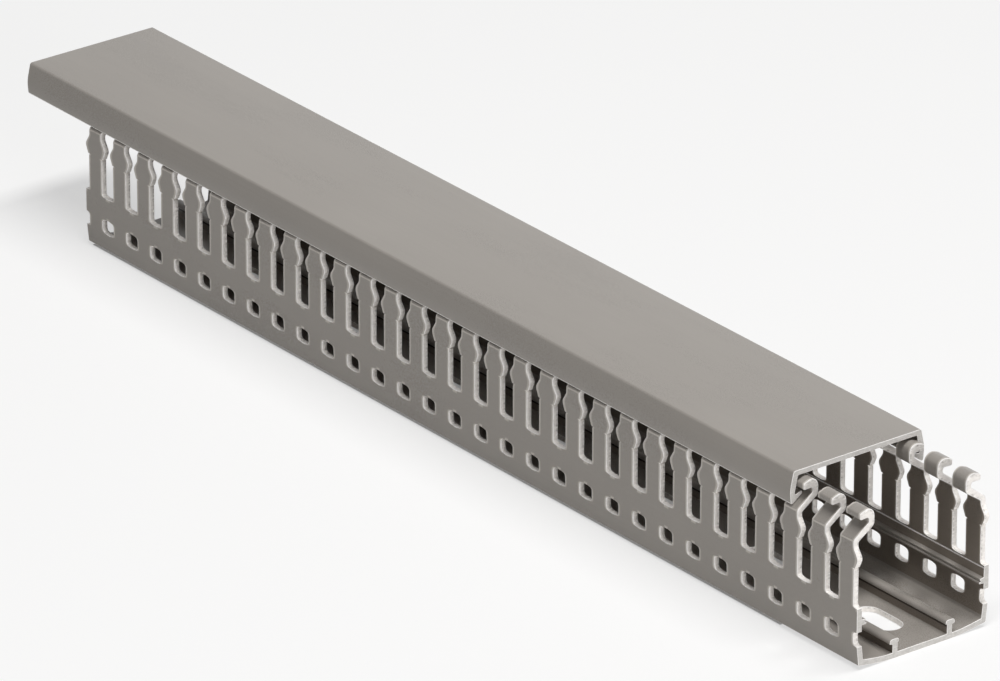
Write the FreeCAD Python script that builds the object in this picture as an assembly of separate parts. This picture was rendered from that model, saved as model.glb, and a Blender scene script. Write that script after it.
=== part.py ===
import FreeCAD, Part
import math
import os

# Slotted wire duct: an extruded trough with punched fingers, and the lid that slides on its hooks.
# Millimetres. X runs along the duct, Z is up, and the origin is the middle of the flat underside.

# Fingers and the slots between them
PITCH = 12.5  # from one slot to the next
FINGERS = 30  # on each wall
SLOT_WIDTH = 5.8  # between the legs of two fingers
SLOT_ROOT = 19.4  # height at which the slots begin
ROOT_RADIUS = 1.0  # in the corners of a slot's root
NECK_START = 31.2  # height of the kink at which a finger starts to widen
NECK_RISE = 3.2  # from there up to the widest place of the finger
NECK_WIDTH = 2.6  # left between two fingers at their widest
NECK_RADIUS = 2.0
HOOK_GAP = 6.3  # between the hooks of two fingers
HOOK_GAP_DROP = 0.8  # below the bend, where that gap starts
SAW_MARGIN = 1.8  # wall left past the last finger where the duct was sawn off

# Trough
OUTER_WIDTH = 48.4  # over the two walls
WALL = 1.8
FLOOR = 1.8
FOOT_INSET = 0.8  # how far each wall leans in at its foot
LEAN_HEIGHT = 8.4  # below this the wall leans in
FLOOR_FLAT = 18.0  # width of the flat strip that the duct stands on
FLOOR_RISE = 1.4  # from the flat strip up to the outer corner
BOW_RUN = 10.0  # width of the arc in which the floor turns up from the flat strip
FOOT_RADIUS = 0.4

# Hook at the top of each finger, as depths inward from the wall's outer face
BEND_HEIGHT = 40.0  # where a finger bends in
SHOULDER_RISE = 4.2  # from the bend up to the mouth
MOUTH_DEPTH = 5.5
MOUTH_HEIGHT = 1.5  # of the mouth's back wall
MOUTH_FLOOR = 1.4  # from the mouth down to the hook's inner heel
HOOK_DEPTH = 7.5  # to the hook's inner face
LIP_DEPTH = 2.1  # to the tip of the hook's lip
LIP_DROOP = 0.4  # how far the tip hangs below the top of the mouth
LIP_TIP_HEIGHT = 1.6
LIP_RISE = 2.0  # of the lip's upper side, from its tip to the hook's inner face
TIP_RADIUS = 0.8
CREST_RADIUS = 1.3
HEEL_RADIUS = 1.2

# Lid
LID_THICKNESS = 1.6
LID_GAP = 0.3  # running gap between the lid's lips and the shoulders that they slide on
LID_HEADROOM = 0.4  # over the hooks' crests
LID_TOP_INSET = 0.8  # from the wall's outer face to the lid's upper corner
LID_BULGE = 0.5  # how far a flange stands out past the wall
LID_BULGE_DROP = 5.9  # from the top to the widest place of a flange
LID_BULGE_RADIUS = 12.0
LID_CORNER = 0.9
LID_LIP_REACH = 3.9  # from the wall's outer face to the end of a lip
LID_LIP_ROOT = 2.0  # height of a lip where it leaves the flange
LID_LIP_END = 1.0  # height of a lip at its end
LID_LIP_RADIUS = 0.45
LID_SHIFT = -29.9  # how far the lid is slid along the duct

# Square holes under the slots
HOLE_WIDTH = 5.5
HOLE_HEIGHT = 4.5
HOLE_FOOT = 7.4  # height of a hole's lower edge
HOLE_RADIUS = 1.2

# Rail inside each wall: two ridges with a groove between them
RAIL_FOOT = 13.4
RIDGE_HEIGHT = 0.8
RAIL_GROOVE = 0.8
RAIL_DEPTH = 1.4
GROOVE_DEPTH = 0.9
RAIL_ROUNDING = 0.2

# Score line inside each wall, along which a finger snaps off
SCORE_DROP = 0.6  # below the roots of the slots
SCORE_DEPTH = 0.3

# Ribs on the floor
RIB_OFFSET = 10.0  # from the middle of the duct
RIB_HEIGHT = 4.1
RIB_THICKNESS = 1.5
RIB_HEAD_HEIGHT = 1.5
RIB_HEAD_OUT = 1.1  # overhang towards the wall
RIB_HEAD_IN = 0.3  # overhang towards the middle

# Oblong screw slots in the floor
SCREW_SLOT_WIDTH = 8.4
SCREW_SLOT_LENGTH = 17.4
SCREW_SLOT_PITCH = 50.0
SCREW_SLOTS = 7
SCREW_SLOT_END = 19.8  # from the front end to the middle of the first slot

OVERCUT = 3.0  # how far a cutter reaches past what it cuts

# Sizes that follow
length = FINGERS * PITCH - SLOT_WIDTH + 2 * SAW_MARGIN
half_width = OUTER_WIDTH / 2
foot_half = half_width - FOOT_INSET
shoulder_slope = SHOULDER_RISE / MOUTH_DEPTH
mouth_foot = BEND_HEIGHT + SHOULDER_RISE
mouth_top = mouth_foot + MOUTH_HEIGHT
crest = mouth_top - LIP_DROOP + LIP_TIP_HEIGHT + LIP_RISE
lid_underside = crest + LID_HEADROOM
lid_top = lid_underside + LID_THICKNESS


def directions(corners, index):
    """Unit vectors from a corner of a closed outline to the corners before and after it."""
    before = (corners[index - 1] - corners[index]).normalize()
    after = (corners[(index + 1) % len(corners)] - corners[index]).normalize()
    return before, after


def bevelled(points):
    """The closed outline of (across, up, radius) with each round corner cut straight, by one facet
    that touches the arc of its radius: for what is repeated on every finger."""
    corners = [FreeCAD.Vector(across, up, 0) for across, up, radius in points]
    outline = []
    for index, (across, up, radius) in enumerate(points):
        if radius == 0:
            outline.append((across, up, 0))
            continue
        before, after = directions(corners, index)
        half = before.getAngle(after) / 2
        reach = radius * (1 - math.sin(half)) / (math.sin(half) * math.cos(half))
        for way in (before, after):
            cut = corners[index] + way * reach
            outline.append((cut.x, cut.y, 0))
    return outline


def rounded_face(points, place):
    """Face inside the closed outline of (across, up, radius), each corner rounded by its radius.
    A 'side' outline lies across the duct, a 'front' one along it."""
    if place == "side":
        corners = [FreeCAD.Vector(0, across, up) for across, up, radius in points]
    else:
        corners = [FreeCAD.Vector(across, 0, up) for across, up, radius in points]
    tangents = []
    for index, corner in enumerate(corners):
        radius = points[index][2]
        if radius == 0:
            tangents.append((corner, None, corner))
            continue
        before, after = directions(corners, index)
        half = before.getAngle(after) / 2
        reach = radius / math.tan(half)
        middle = (before + after).normalize() * (radius / math.sin(half) - radius)
        tangents.append((corner + before * reach, corner + middle, corner + after * reach))
    edges = []
    for index, (start, middle, end) in enumerate(tangents):
        if middle is not None:
            edges.append(Part.Arc(start, middle, end).toShape())
        following = tangents[(index + 1) % len(tangents)][0]
        if (following - end).Length > 1e-6:
            edges.append(Part.LineSegment(end, following).toShape())
    return Part.Face(Part.Wire(edges))


def mirrored(points):
    """The closed outline made of a half outline and its mirror image, from its foot over its top."""
    return points + [(-across, up, radius) for across, up, radius in reversed(points)]


def hook():
    """Top of one wall, from its outer bend up round the hook and down to its inner bend."""
    mouth = half_width - MOUTH_DEPTH
    tip = half_width - LIP_DEPTH
    back = half_width - HOOK_DEPTH
    inner_bend = BEND_HEIGHT - WALL * math.tan(math.atan2(MOUTH_DEPTH, SHOULDER_RISE) / 2)
    return bevelled([
        (half_width, BEND_HEIGHT, 0),
        (mouth, mouth_foot, 0),
        (mouth, mouth_top, 0),
        (tip, mouth_top - LIP_DROOP, TIP_RADIUS),
        (tip, crest - LIP_RISE, TIP_RADIUS),
        (back, crest, CREST_RADIUS),
        (back, mouth_foot - MOUTH_FLOOR, HEEL_RADIUS),
        (half_width - WALL, inner_bend, 0),
    ])


def trough_section():
    """Section of the trough: floor, then up the outside of a wall, round its hook and down inside."""
    bow = FLOOR_FLAT / 2 + BOW_RUN / 2
    slope = FLOOR_RISE / (foot_half - bow)
    bow_radius = BOW_RUN / 2 / math.tan(math.atan(slope) / 2)
    face = half_width - WALL
    score = SLOT_ROOT - SCORE_DROP
    ridge = face - RAIL_DEPTH
    groove = ridge + GROOVE_DEPTH
    upper_foot = RAIL_FOOT + RIDGE_HEIGHT + RAIL_GROOVE
    inner_foot = foot_half - WALL + FOOT_INSET * FLOOR / LEAN_HEIGHT
    outside = [
        (bow, 0, bow_radius),
        (foot_half, FLOOR_RISE, FOOT_RADIUS),
        (half_width, LEAN_HEIGHT, 0),
    ]
    inside = [
        (face, score + SCORE_DEPTH, 0),
        (face + SCORE_DEPTH, score, 0),
        (face, score - SCORE_DEPTH, 0),
        (face, upper_foot + RIDGE_HEIGHT, 0),
        (ridge, upper_foot + RIDGE_HEIGHT, RAIL_ROUNDING),
        (ridge, upper_foot, RAIL_ROUNDING),
        (groove, upper_foot, 0),
        (groove, RAIL_FOOT + RIDGE_HEIGHT, 0),
        (ridge, RAIL_FOOT + RIDGE_HEIGHT, RAIL_ROUNDING),
        (ridge, RAIL_FOOT, RAIL_ROUNDING),
        (face, RAIL_FOOT, 0),
        (face, LEAN_HEIGHT, 0),
        (inner_foot, FLOOR + slope * (inner_foot - bow), FOOT_RADIUS),
        (bow, FLOOR, bow_radius - FLOOR),
    ]
    return mirrored(outside + hook() + inside)


def floor_rib(side):
    """Rib that stands on the floor, with a round head whose lip points at the wall."""
    inner = RIB_OFFSET - RIB_THICKNESS / 2
    outer = RIB_OFFSET + RIB_THICKNESS / 2
    top = FLOOR + RIB_HEIGHT
    head = top - RIB_HEAD_HEIGHT
    rounding = 0.45 * RIB_HEAD_HEIGHT
    points = [
        (inner, FLOOR / 2, 0),
        (outer, FLOOR / 2, 0),
        (outer, head, 0),
        (outer + RIB_HEAD_OUT, head, rounding / 2),
        (outer + RIB_HEAD_OUT, top, rounding),
        (inner - RIB_HEAD_IN, top, rounding),
        (inner - RIB_HEAD_IN, head, RIB_HEAD_IN / 2),
        (inner, head, 0),
    ]
    return [(side * across, up, radius) for across, up, radius in points]


def along_duct(face, start, run):
    """Extrude a section that lies across the duct from x = start."""
    face.translate(FreeCAD.Vector(start, 0, 0))
    return face.extrude(FreeCAD.Vector(run, 0, 0))


def across_duct(face, x):
    """Extrude an outline seen from the side right through both walls, at x."""
    reach = half_width + OVERCUT
    face.translate(FreeCAD.Vector(x, -reach, 0))
    return face.extrude(FreeCAD.Vector(0, 2 * reach, 0))


def slot_outline():
    """Slot between two fingers: straight legs, a neck where both fingers widen, then the hook gap."""
    half_side = [
        (SLOT_WIDTH / 2, SLOT_ROOT, ROOT_RADIUS),
        (SLOT_WIDTH / 2, NECK_START, 0),
        (NECK_WIDTH / 2, NECK_START + NECK_RISE, NECK_RADIUS),
        (HOOK_GAP / 2, BEND_HEIGHT - HOOK_GAP_DROP, 0),
        (HOOK_GAP / 2, crest + OVERCUT, 0),
    ]
    return rounded_face(bevelled(mirrored(half_side)), "front")


def square_hole_outline():
    """Square hole with blunt corners under a slot."""
    half_side = [
        (HOLE_WIDTH / 2, HOLE_FOOT, HOLE_RADIUS),
        (HOLE_WIDTH / 2, HOLE_FOOT + HOLE_HEIGHT, HOLE_RADIUS),
    ]
    return rounded_face(bevelled(mirrored(half_side)), "front")


def screw_slot(x):
    """Oblong hole through the floor, its long way along the duct."""
    radius = SCREW_SLOT_WIDTH / 2
    straight = SCREW_SLOT_LENGTH - SCREW_SLOT_WIDTH
    depth = FLOOR + 2 * OVERCUT
    corner = FreeCAD.Vector(x - straight / 2, -radius, -OVERCUT)
    cutter = Part.makeBox(straight, SCREW_SLOT_WIDTH, depth, corner)
    for end in (-straight / 2, straight / 2):
        cutter = cutter.fuse(Part.makeCylinder(radius, depth, FreeCAD.Vector(x + end, 0, -OVERCUT)))
    return cutter.removeSplitter()


def duct_base():
    """Trough: one section extruded, ribs on its floor, then everything that is punched out of it."""
    trough = along_duct(rounded_face(trough_section(), "side"), -length / 2, length)
    ribs = [along_duct(rounded_face(floor_rib(side), "side"), -length / 2, length) for side in (-1, 1)]
    trough = trough.fuse(ribs).removeSplitter()
    columns = [(index - FINGERS / 2) * PITCH for index in range(FINGERS + 1)]
    cutters = [across_duct(slot_outline(), x) for x in columns]
    cutters += [across_duct(square_hole_outline(), x) for x in columns]
    first = length / 2 - SCREW_SLOT_END
    cutters += [screw_slot(first - index * SCREW_SLOT_PITCH) for index in range(SCREW_SLOTS)]
    return trough.cut(cutters)


def duct_lid():
    """Lid: a flat top, two flanges that bulge a little, and lips turned in over the shoulders."""
    top_corner = half_width - LID_TOP_INSET
    bulge = half_width + LID_BULGE
    bulge_height = lid_top - LID_BULGE_DROP
    lip_foot = BEND_HEIGHT + LID_GAP * math.hypot(1, shoulder_slope)
    lip_end = half_width - LID_LIP_REACH
    end_foot = lip_foot + shoulder_slope * LID_LIP_REACH
    root = bulge - LID_THICKNESS
    root_foot = lip_foot + shoulder_slope * (half_width - root)
    half_outside = [
        (half_width, lip_foot, LID_LIP_RADIUS),
        (bulge, bulge_height, LID_BULGE_RADIUS),
        (top_corner, lid_top, LID_CORNER),
    ]
    half_inside = [
        (lip_end, end_foot, LID_LIP_RADIUS),
        (lip_end, end_foot + LID_LIP_END, LID_LIP_RADIUS),
        (root, root_foot + LID_LIP_ROOT, LID_LIP_RADIUS),
        (top_corner - LID_THICKNESS, lid_underside, LID_LIP_RADIUS),
    ]
    outline = mirrored(half_outside) + mirrored(half_inside)[::-1]
    return along_duct(rounded_face(outline, "side"), LID_SHIFT - length / 2, length)


os.makedirs("parts", exist_ok=True)
for name, shape in {"duct_base": duct_base(), "duct_lid": duct_lid()}.items():
    print(name, shape.isValid(), len(shape.Solids), round(shape.Volume), shape.BoundBox)
    shape.exportStep("parts/" + name + ".step")
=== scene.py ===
# %% [markdown]
# # Slotted wire duct
#
# A wire duct is a grey plastic trough for the wires in a control cabinet. It is extruded as one long
# section, and then its walls are punched into fingers, so that wires can leave it anywhere. A lid
# slides over hooks at the tops of the fingers. This file dresses the two pieces of the packed model:
# it rebuilds each as one closed surface with rounded edges, gives each kind of surface the finish of
# the real one, and lights and frames them as a studio photograph would.

# %% The packed model
import math

import bmesh
import bpy
import numpy as np
from mathutils import Matrix, Vector


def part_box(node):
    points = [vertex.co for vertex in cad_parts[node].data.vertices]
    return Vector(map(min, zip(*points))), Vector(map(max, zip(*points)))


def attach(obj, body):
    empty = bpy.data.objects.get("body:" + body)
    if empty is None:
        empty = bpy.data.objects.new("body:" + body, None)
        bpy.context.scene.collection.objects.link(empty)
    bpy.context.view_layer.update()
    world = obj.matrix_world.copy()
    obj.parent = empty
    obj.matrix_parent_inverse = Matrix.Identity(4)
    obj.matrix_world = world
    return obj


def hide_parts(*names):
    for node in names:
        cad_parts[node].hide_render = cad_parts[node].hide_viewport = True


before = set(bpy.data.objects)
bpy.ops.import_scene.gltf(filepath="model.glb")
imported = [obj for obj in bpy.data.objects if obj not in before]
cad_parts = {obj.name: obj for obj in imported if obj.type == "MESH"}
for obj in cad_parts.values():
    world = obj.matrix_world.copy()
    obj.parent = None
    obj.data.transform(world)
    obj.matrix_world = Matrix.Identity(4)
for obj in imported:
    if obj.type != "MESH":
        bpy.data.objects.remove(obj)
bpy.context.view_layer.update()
MM = 0.001
base_low, base_high = (np.array(corner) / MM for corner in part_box("duct_base"))
lid_low, lid_high = (np.array(corner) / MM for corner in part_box("duct_lid"))
LENGTH = base_high[0] - base_low[0]
W = base_high[1]  # half the width
print("base", np.round(base_high - base_low, 2), "lid", np.round(lid_high - lid_low, 2), "mm")

# %% [markdown]
# ## The punching
#
# The shapes below are worked out in millimetres and become metres when a mesh is made. The length,
# the width and the lid's place come from the packed model, so the dressed pieces can't drift away
# from the solids that they stand for. What is written here is what one stroke of the punch leaves:
# the slot with its neck and the square hole below it.

# %% Sizes of the punched pattern
PITCH = 12.5  # from one slot to the next
SLOT_HALF = 2.9
SLOT_ROOT = 19.4  # height at which the slots begin
ROOT_RADIUS = 1.0
KINK = 31.6  # height at which a finger steps out and starts to widen
KINK_STEP = 0.45
NICK = 0.55  # depth of the nick just below that step, at which a finger snaps off
NECK = 34.6  # height of its widest place
NECK_HALF = 1.15  # half of what is left between two fingers there, before it is rounded
HOOK_HALF = 3.15  # half the gap between two hooks
HOOK_FOOT = 37.7  # height from which that gap stays the same
HOLE_HALF = 2.75
HOLE_FOOT = 7.4
HOLE_TOP = 11.9
HOLE_RADIUS = 1.2
slots = np.arange(-15, 16) * PITCH
print(len(slots), "slots, the outer ones cut in half by the saw at", round(LENGTH / 2, 2), "mm")

# %% [markdown]
# ## Outlines with round corners
#
# Nothing that comes out of an extruder has a sharp corner, and it is the thin highlights along the
# rounded ones that tell the eye how big a thing is. A bevel modifier could round them afterwards,
# but a section is drawn once and used for every finger, so it is cheaper to draw it with its arcs.
# The function below rounds all corners of an outline in one go, as arrays: no corner waits for the
# next one.


# %% Rounding an outline
def rounded(points, radii, steps):
    """Open outline with its corners rounded; the first and last points stay as they are.

    At a corner the unit vectors a and b point to its neighbours, h is half the angle between them
    and r the radius. The arc's centre lies r / sin h along the bisector, the arc starts r / tan h
    along a and ends as far along b, and its points are the two ends turned into each other about
    the centre: a spherical blend of the two spokes in equal steps."""
    points = np.asarray(points, float)
    radii = np.asarray(radii, float)[:, None]
    corner = points[1:-1]
    a = points[:-2] - corner
    b = points[2:] - corner
    a /= np.linalg.norm(a, axis=1, keepdims=True)
    b /= np.linalg.norm(b, axis=1, keepdims=True)
    half = np.arccos(np.clip((a * b).sum(1, keepdims=True), -1, 1)) / 2
    bisector = (a + b) / np.linalg.norm(a + b, axis=1, keepdims=True)
    centre = corner + bisector * radii / np.sin(half)
    first = corner + a * radii / np.tan(half) - centre
    last = corner + b * radii / np.tan(half) - centre
    share = np.linspace(0, 1, steps + 1)[None, :, None]
    turn = (np.pi - 2 * half)[:, None, :]
    arcs = first[:, None] * np.sin((1 - share) * turn) + last[:, None] * np.sin(share * turn)
    arcs = centre[:, None] + arcs / np.sin(turn)
    return np.vstack([points[:1], arcs.reshape(-1, 2), points[-1:]])


example = rounded([(0, 1), (0, 0), (1, 0)], [0.5], 3)[1:-1]
print("a square corner in 3 steps:", np.round(example, 2).tolist())

# %% [markdown]
# ## Where the plastic stops: the punched gap
#
# Both walls are punched with the same tool, so one function of the height z says how wide the gap is:
# nothing below the holes, a square hole with round corners, nothing again, and then the slot, which
# has round lower corners, straight legs, a neck where the fingers widen and the gap between hooks.
# Booleans could cut these from a solid wall, and that is what the packed model does. Here a formula is
# better, because it leaves tidy rows of points along each cut, which can be rounded and finished.


# %% Half width of the gap at a height
def hole_half(z):
    """Half width of a square hole: its half side, less what a round corner takes at that height,
    radius minus the square root of radius squared minus (height into the corner) squared."""
    into = np.clip(HOLE_RADIUS - np.minimum(z - HOLE_FOOT, HOLE_TOP - z), 0, HOLE_RADIUS)
    return HOLE_HALF - HOLE_RADIUS + np.sqrt(HOLE_RADIUS ** 2 - into ** 2)


NICK_FOOT, NICK_DEEPEST, STEP_TOP = KINK - 0.5, KINK - 0.12, KINK + 0.1  # heights round the kink
BEYOND = 60.0  # a height above the whole duct
neck_line = rounded([(SLOT_ROOT, SLOT_HALF), (NICK_FOOT, SLOT_HALF), (NICK_DEEPEST, SLOT_HALF + NICK),
                     (STEP_TOP, SLOT_HALF - KINK_STEP), (NECK, NECK_HALF), (HOOK_FOOT, HOOK_HALF),
                     (BEYOND, HOOK_HALF)], [0.1, 0.04, 0.2, 1.9, 2.2], 5)


def slot_half(z):
    """Half width of a slot: the neck's outline, less what the round root takes just above it."""
    into = np.clip(ROOT_RADIUS - (z - SLOT_ROOT), 0, ROOT_RADIUS)
    corner = ROOT_RADIUS - np.sqrt(ROOT_RADIUS ** 2 - into ** 2)
    return np.interp(z, neck_line[:, 0], neck_line[:, 1]) - corner


print("gap at the neck", round(2 * float(slot_half(np.array(NECK))), 2), "mm")

# %% [markdown]
# ## The section, as two lines that belong together
#
# A punched edge shows the thickness of the wall, so the outer and the inner line of the section are
# drawn as partners: point k of the one lies straight across the plastic from point k of the other.
# Then a punched face is simply the ladder between them. Along the leg the partners share a height.
# Round the hook each corner has its partner corner, so both lines get the same number of points.

# %% The upright part of the wall
WALL = 1.8
LEAN = 8.4  # below this the wall leans in towards the foot
FOOT_INSET = 0.8  # by this much
FLOOR_RISE = 1.4  # of the underside, from its flat strip to its corners
EASE = 2.0  # above and below the bend of the lean


def outer_wall(z):
    """Distance of the outer face from the middle: upright, and leaning in towards the foot. The lean
    is the depth below its bend over its full height, and the bend is eased in as half a parabola."""
    depth = LEAN - z
    eased = (np.clip(depth, -EASE, EASE) + EASE) ** 2 / (4 * EASE)
    return W - FOOT_INSET * np.where(depth > EASE, depth, eased) / (LEAN - FLOOR_RISE)


def inner_wall(z):
    """Distance of the inner face from the middle: as the outer face, one wall thickness in."""
    return outer_wall(z) - WALL


print("the outer face leans in by", round(W - float(outer_wall(np.array(FLOOR_RISE))), 2), "mm at the foot")

# %% [markdown]
# The hook is the hardest form of the duct. A finger leans inwards over its bend, and its tip curls
# back outwards over the mouth that the lid's lip slides in. Its crest is round and full, its mouth
# small and rather square, so the partners' radii differ from corner to corner. The nose of the lip is
# hardly thicker than the rounding that its cut edges get later, so it keeps only every second point
# of its arc: closer points would fold over each other there.

# %% The hook
BEND = 40.0  # height at which a finger bends inwards
SHOULDER_RUN, SHOULDER_RISE = 5.5, 4.2  # from the bend to the back of the mouth
MOUTH_ROOF, ROOF_DROOP = 45.75, 0.15  # height of the mouth's roof, and how far it sinks to the lip
HOOK_BACK, HOOK_BACK_FOOT = 7.5, 43.0  # inner face: its depth from the outer face, and its foot
CREST, CREST_RADIUS = 49.65, 2.6  # before the crest is rounded
LIP, LIP_TIP, LIP_NOSE = 2.1, 47.6, 46.4  # inwards from the outer face, highest and lowest height
LEG_TOP = 38.3  # the two lines of the hook start here
HOOK_STEPS = 7  # in each of its four arcs
inner_bend = BEND - WALL * math.tan((math.pi / 2 - math.atan2(SHOULDER_RISE, SHOULDER_RUN)) / 2)
hook_out = rounded([(W, LEG_TOP), (W, BEND), (W - SHOULDER_RUN, BEND + SHOULDER_RISE),
                    (W - SHOULDER_RUN, MOUTH_ROOF), (W - LIP, MOUTH_ROOF - ROOF_DROOP),
                    (W - LIP, LIP_NOSE)], [1.3, 0.7, 0.7, 0.65], HOOK_STEPS)[1:-1]
hook_in = rounded([(W - WALL, LEG_TOP), (W - WALL, inner_bend), (W - HOOK_BACK, HOOK_BACK_FOOT),
                   (W - HOOK_BACK, CREST), (W - LIP, LIP_TIP), (W - LIP, LIP_NOSE)],
                  [0.8, 1.9, CREST_RADIUS, 0.6], HOOK_STEPS)[1:-1]
nose = 3 * (HOOK_STEPS + 1)  # the first point round the lip's nose
sparse = np.r_[0:nose, nose:len(hook_out) - 1:2]
hook_out, hook_in = hook_out[sparse], hook_in[sparse]
print("crest at", round(hook_in[:, 1].max(), 2), "mm,", len(hook_out), "pairs of points round the hook")

# %% [markdown]
# ## Grids and how they join
#
# Every surface here is a grid: rows up the section, columns along the duct. The columns are the same
# everywhere, two for the edges of each slot and one inside each finger, and only slide sideways as
# the gap gets wider or narrower. So neighbouring grids share their points and merge into one closed
# skin, with no gaps at the seams. The rows sit close together only where the outline is round.

# %% Rows up the wall
MID_HOLE, MID_LEG = LEAN + 1.2, 25.0  # height of the one row in a hole's and in a leg's straight part
NECK_SPAN = (SLOT_ROOT + 2, LEG_TOP - 0.1)  # between these the neck's own points give the rows
arc_share = 1 - np.cos(np.linspace(0, np.pi / 2, 5))
hole_rise, root_rise = HOLE_RADIUS * arc_share, ROOT_RADIUS * arc_share
hole_rows = np.concatenate([HOLE_FOOT + hole_rise, [MID_HOLE], HOLE_TOP - hole_rise[::-1]])
neck_rows = neck_line[(neck_line[:, 0] > NECK_SPAN[0]) & (neck_line[:, 0] < NECK_SPAN[1]), 0]
leg_rows = np.unique(np.round(np.concatenate([SLOT_ROOT + root_rise, [MID_LEG], neck_rows]), 4))
print(len(hole_rows), "rows in a hole,", len(leg_rows) + len(hook_out), "up a finger")


# %% Columns along the duct
def columns(gap_half):
    """x of every column for each row: for each slot its left and right edge and the middle of the
    finger that follows. Edges beyond a sawn end stop there."""
    gap_half = np.asarray(gap_half, float)[:, None]
    left = np.clip(slots - gap_half, -LENGTH / 2, LENGTH / 2)
    right = np.clip(slots + gap_half, -LENGTH / 2, LENGTH / 2)
    finger = np.stack([left[:, :-1], right[:, :-1], (right[:, :-1] + left[:, 1:]) / 2], axis=2)
    return np.hstack([finger.reshape(len(gap_half), -1), left[:, -1:], right[:, -1:]])


COLUMNS = 3 * (len(slots) - 1) + 2
in_slot = np.arange(COLUMNS - 1) % 3 == 0
at_edge = np.where(np.arange(COLUMNS) % 3 == 2, 0.0, 1.0)
print(COLUMNS, "columns")

# %% [markdown]
# ## A heap of grids that becomes one mesh
#
# The real piece shows five kinds of surface: the smooth skin outside, the inside, which is the same
# plastic painted darker as shade, the torn faces that the punch leaves, the sawn ends, and the
# whitened rims where plastic was cut, which also paint a highlight at the foot of the lid's flange.
# Each cell keeps which kind it is as its material. Each corner also keeps one number, its reach: on a
# punched face the share of the way through the wall, and on the skin 1 at a punched edge and along a
# bend, where it paints a highlight, and 0 in the middle of a finger; below nought it marks painted
# shade, a dark line in a groove. The finishes use it to follow the cuts wherever they go, which no
# plain coordinate could.

# %% The heap
SKIN, PUNCHED, SAWN, BURR, INNER_SHADED = range(5)


class Shell:
    """Collects grids of points, their cells, and what each cell and corner keeps."""

    def __init__(self):
        self.points, self.reach, self.faces, self.finish, self.caps, self.count = [], [], [], [], [], 0

    def add(self, points, reach):
        """Keeps points and their reach, and numbers them."""
        index = np.arange(points[..., 0].size).reshape(points.shape[:-1]) + self.count
        self.points.append(points.reshape(-1, 3))
        self.reach.append(np.broadcast_to(reach, points.shape[:-1]).reshape(-1))
        self.count += index.size
        return index

    def grid(self, points, finish, keep=True, reach=0.0):
        """Adds a grid of points, of shape (..., rows, columns, 3); keep says which cells are there."""
        index = self.add(np.asarray(points, float), reach)
        cells = np.stack([index[..., :-1, :-1], index[..., :-1, 1:],
                          index[..., 1:, 1:], index[..., 1:, :-1]], axis=-1)
        keep = np.broadcast_to(keep, cells.shape[:-1])
        self.faces.append(cells[keep])
        self.finish.append(np.broadcast_to(finish, keep.shape)[keep])

    def cap(self, points):
        """Adds one flat face with many corners: a sawn end."""
        self.caps.append(self.add(np.asarray(points, float), 0.0))


print("kinds of surface: skin, punched, sawn, burr, inner =", SKIN, PUNCHED, SAWN, BURR, INNER_SHADED)


# %% Welding a heap
def welded(shell):
    """Points, corner numbers, corners per face, finish per face and reach per corner of one closed
    mesh: points that share a place to a thousandth of a millimetre become one, and a cell that has
    shrunk to a line is left out."""
    points = np.vstack(shell.points)
    _, first, merged = np.unique(np.round(points, 3), axis=0, return_index=True, return_inverse=True)
    merged = merged.reshape(-1)
    quads = np.vstack(shell.faces)
    distinct = merged[quads] != merged[np.roll(quads, 1, axis=1)]
    solid = distinct.sum(1) > 2
    quads, distinct = quads[solid], distinct[solid]
    caps = [cap[merged[cap] != merged[np.roll(cap, 1)]] for cap in shell.caps]
    corners = np.concatenate([quads[distinct]] + caps)
    sizes = np.concatenate([distinct.sum(1), [len(cap) for cap in caps]])
    finish = np.concatenate([np.concatenate(shell.finish)[solid], np.full(len(caps), SAWN)])
    used, number = np.unique(merged[corners], return_inverse=True)
    return points[first][used], number.reshape(-1), sizes, finish, np.concatenate(shell.reach)[corners]


def mesh_of(shell, name):
    """Puts the welded arrays into a mesh, in metres."""
    points, number, sizes, finish, reach = welded(shell)
    data = bpy.data.meshes.new(name)
    data.vertices.add(len(points))
    data.vertices.foreach_set("co", (points * MM).ravel())
    data.loops.add(len(number))
    data.loops.foreach_set("vertex_index", number.astype(np.int32))
    data.polygons.add(len(sizes))
    data.polygons.foreach_set("loop_start", (np.cumsum(sizes) - sizes).astype(np.int32))
    data.polygons.foreach_set("material_index", finish.astype(np.int32))
    data.update(calc_edges=True)
    attribute = data.attributes.new("reach", "FLOAT", "CORNER")
    attribute.data.foreach_set("value", reach.astype(np.float32))
    print(name, len(points), "points", len(sizes), "faces")
    return data


# %% [markdown]
# ## Rounding the cut edges
#
# An edge between the skin and a cut isn't sharp either: the punch drags it over, and the plastic
# whitens there. Here a bevel modifier is right, because it works on all cuts at once, whatever their
# shape. It follows a weight on each edge: nothing where both sides are skin, the full rounding along
# punched edges, and less along sawn ones. It is less, too, wherever a form is as fine as the rounding
# itself: in the nick, round the nose of a lip, and close to a sawn end, where rims of two kinds meet.
# A rounding that is wider than the face beside it would fold over and show as a dark speck.

# %% How much each edge is rounded
EDGE_ROUNDING = 0.25
SAWN_SHARE = 0.55  # of that rounding, along a sawn edge
NICK_SHARE = 0.3  # and in the nick
NICK_REACH = 0.8  # height above and below the kink
END_CALM = 1.5  # distance from a sawn end in which punched edges are rounded as little
LAST_SHARE, LAST_REACH = 0.2, 0.5  # and still less in the last bit, which is hardly wider than that
LIP_SHARE = 0.4  # round the nose of a lip, which is hardly thicker than the rounding
LIP_ZONE = (21.0, 44.8)  # distance from the middle and height above which the nose begins


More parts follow.
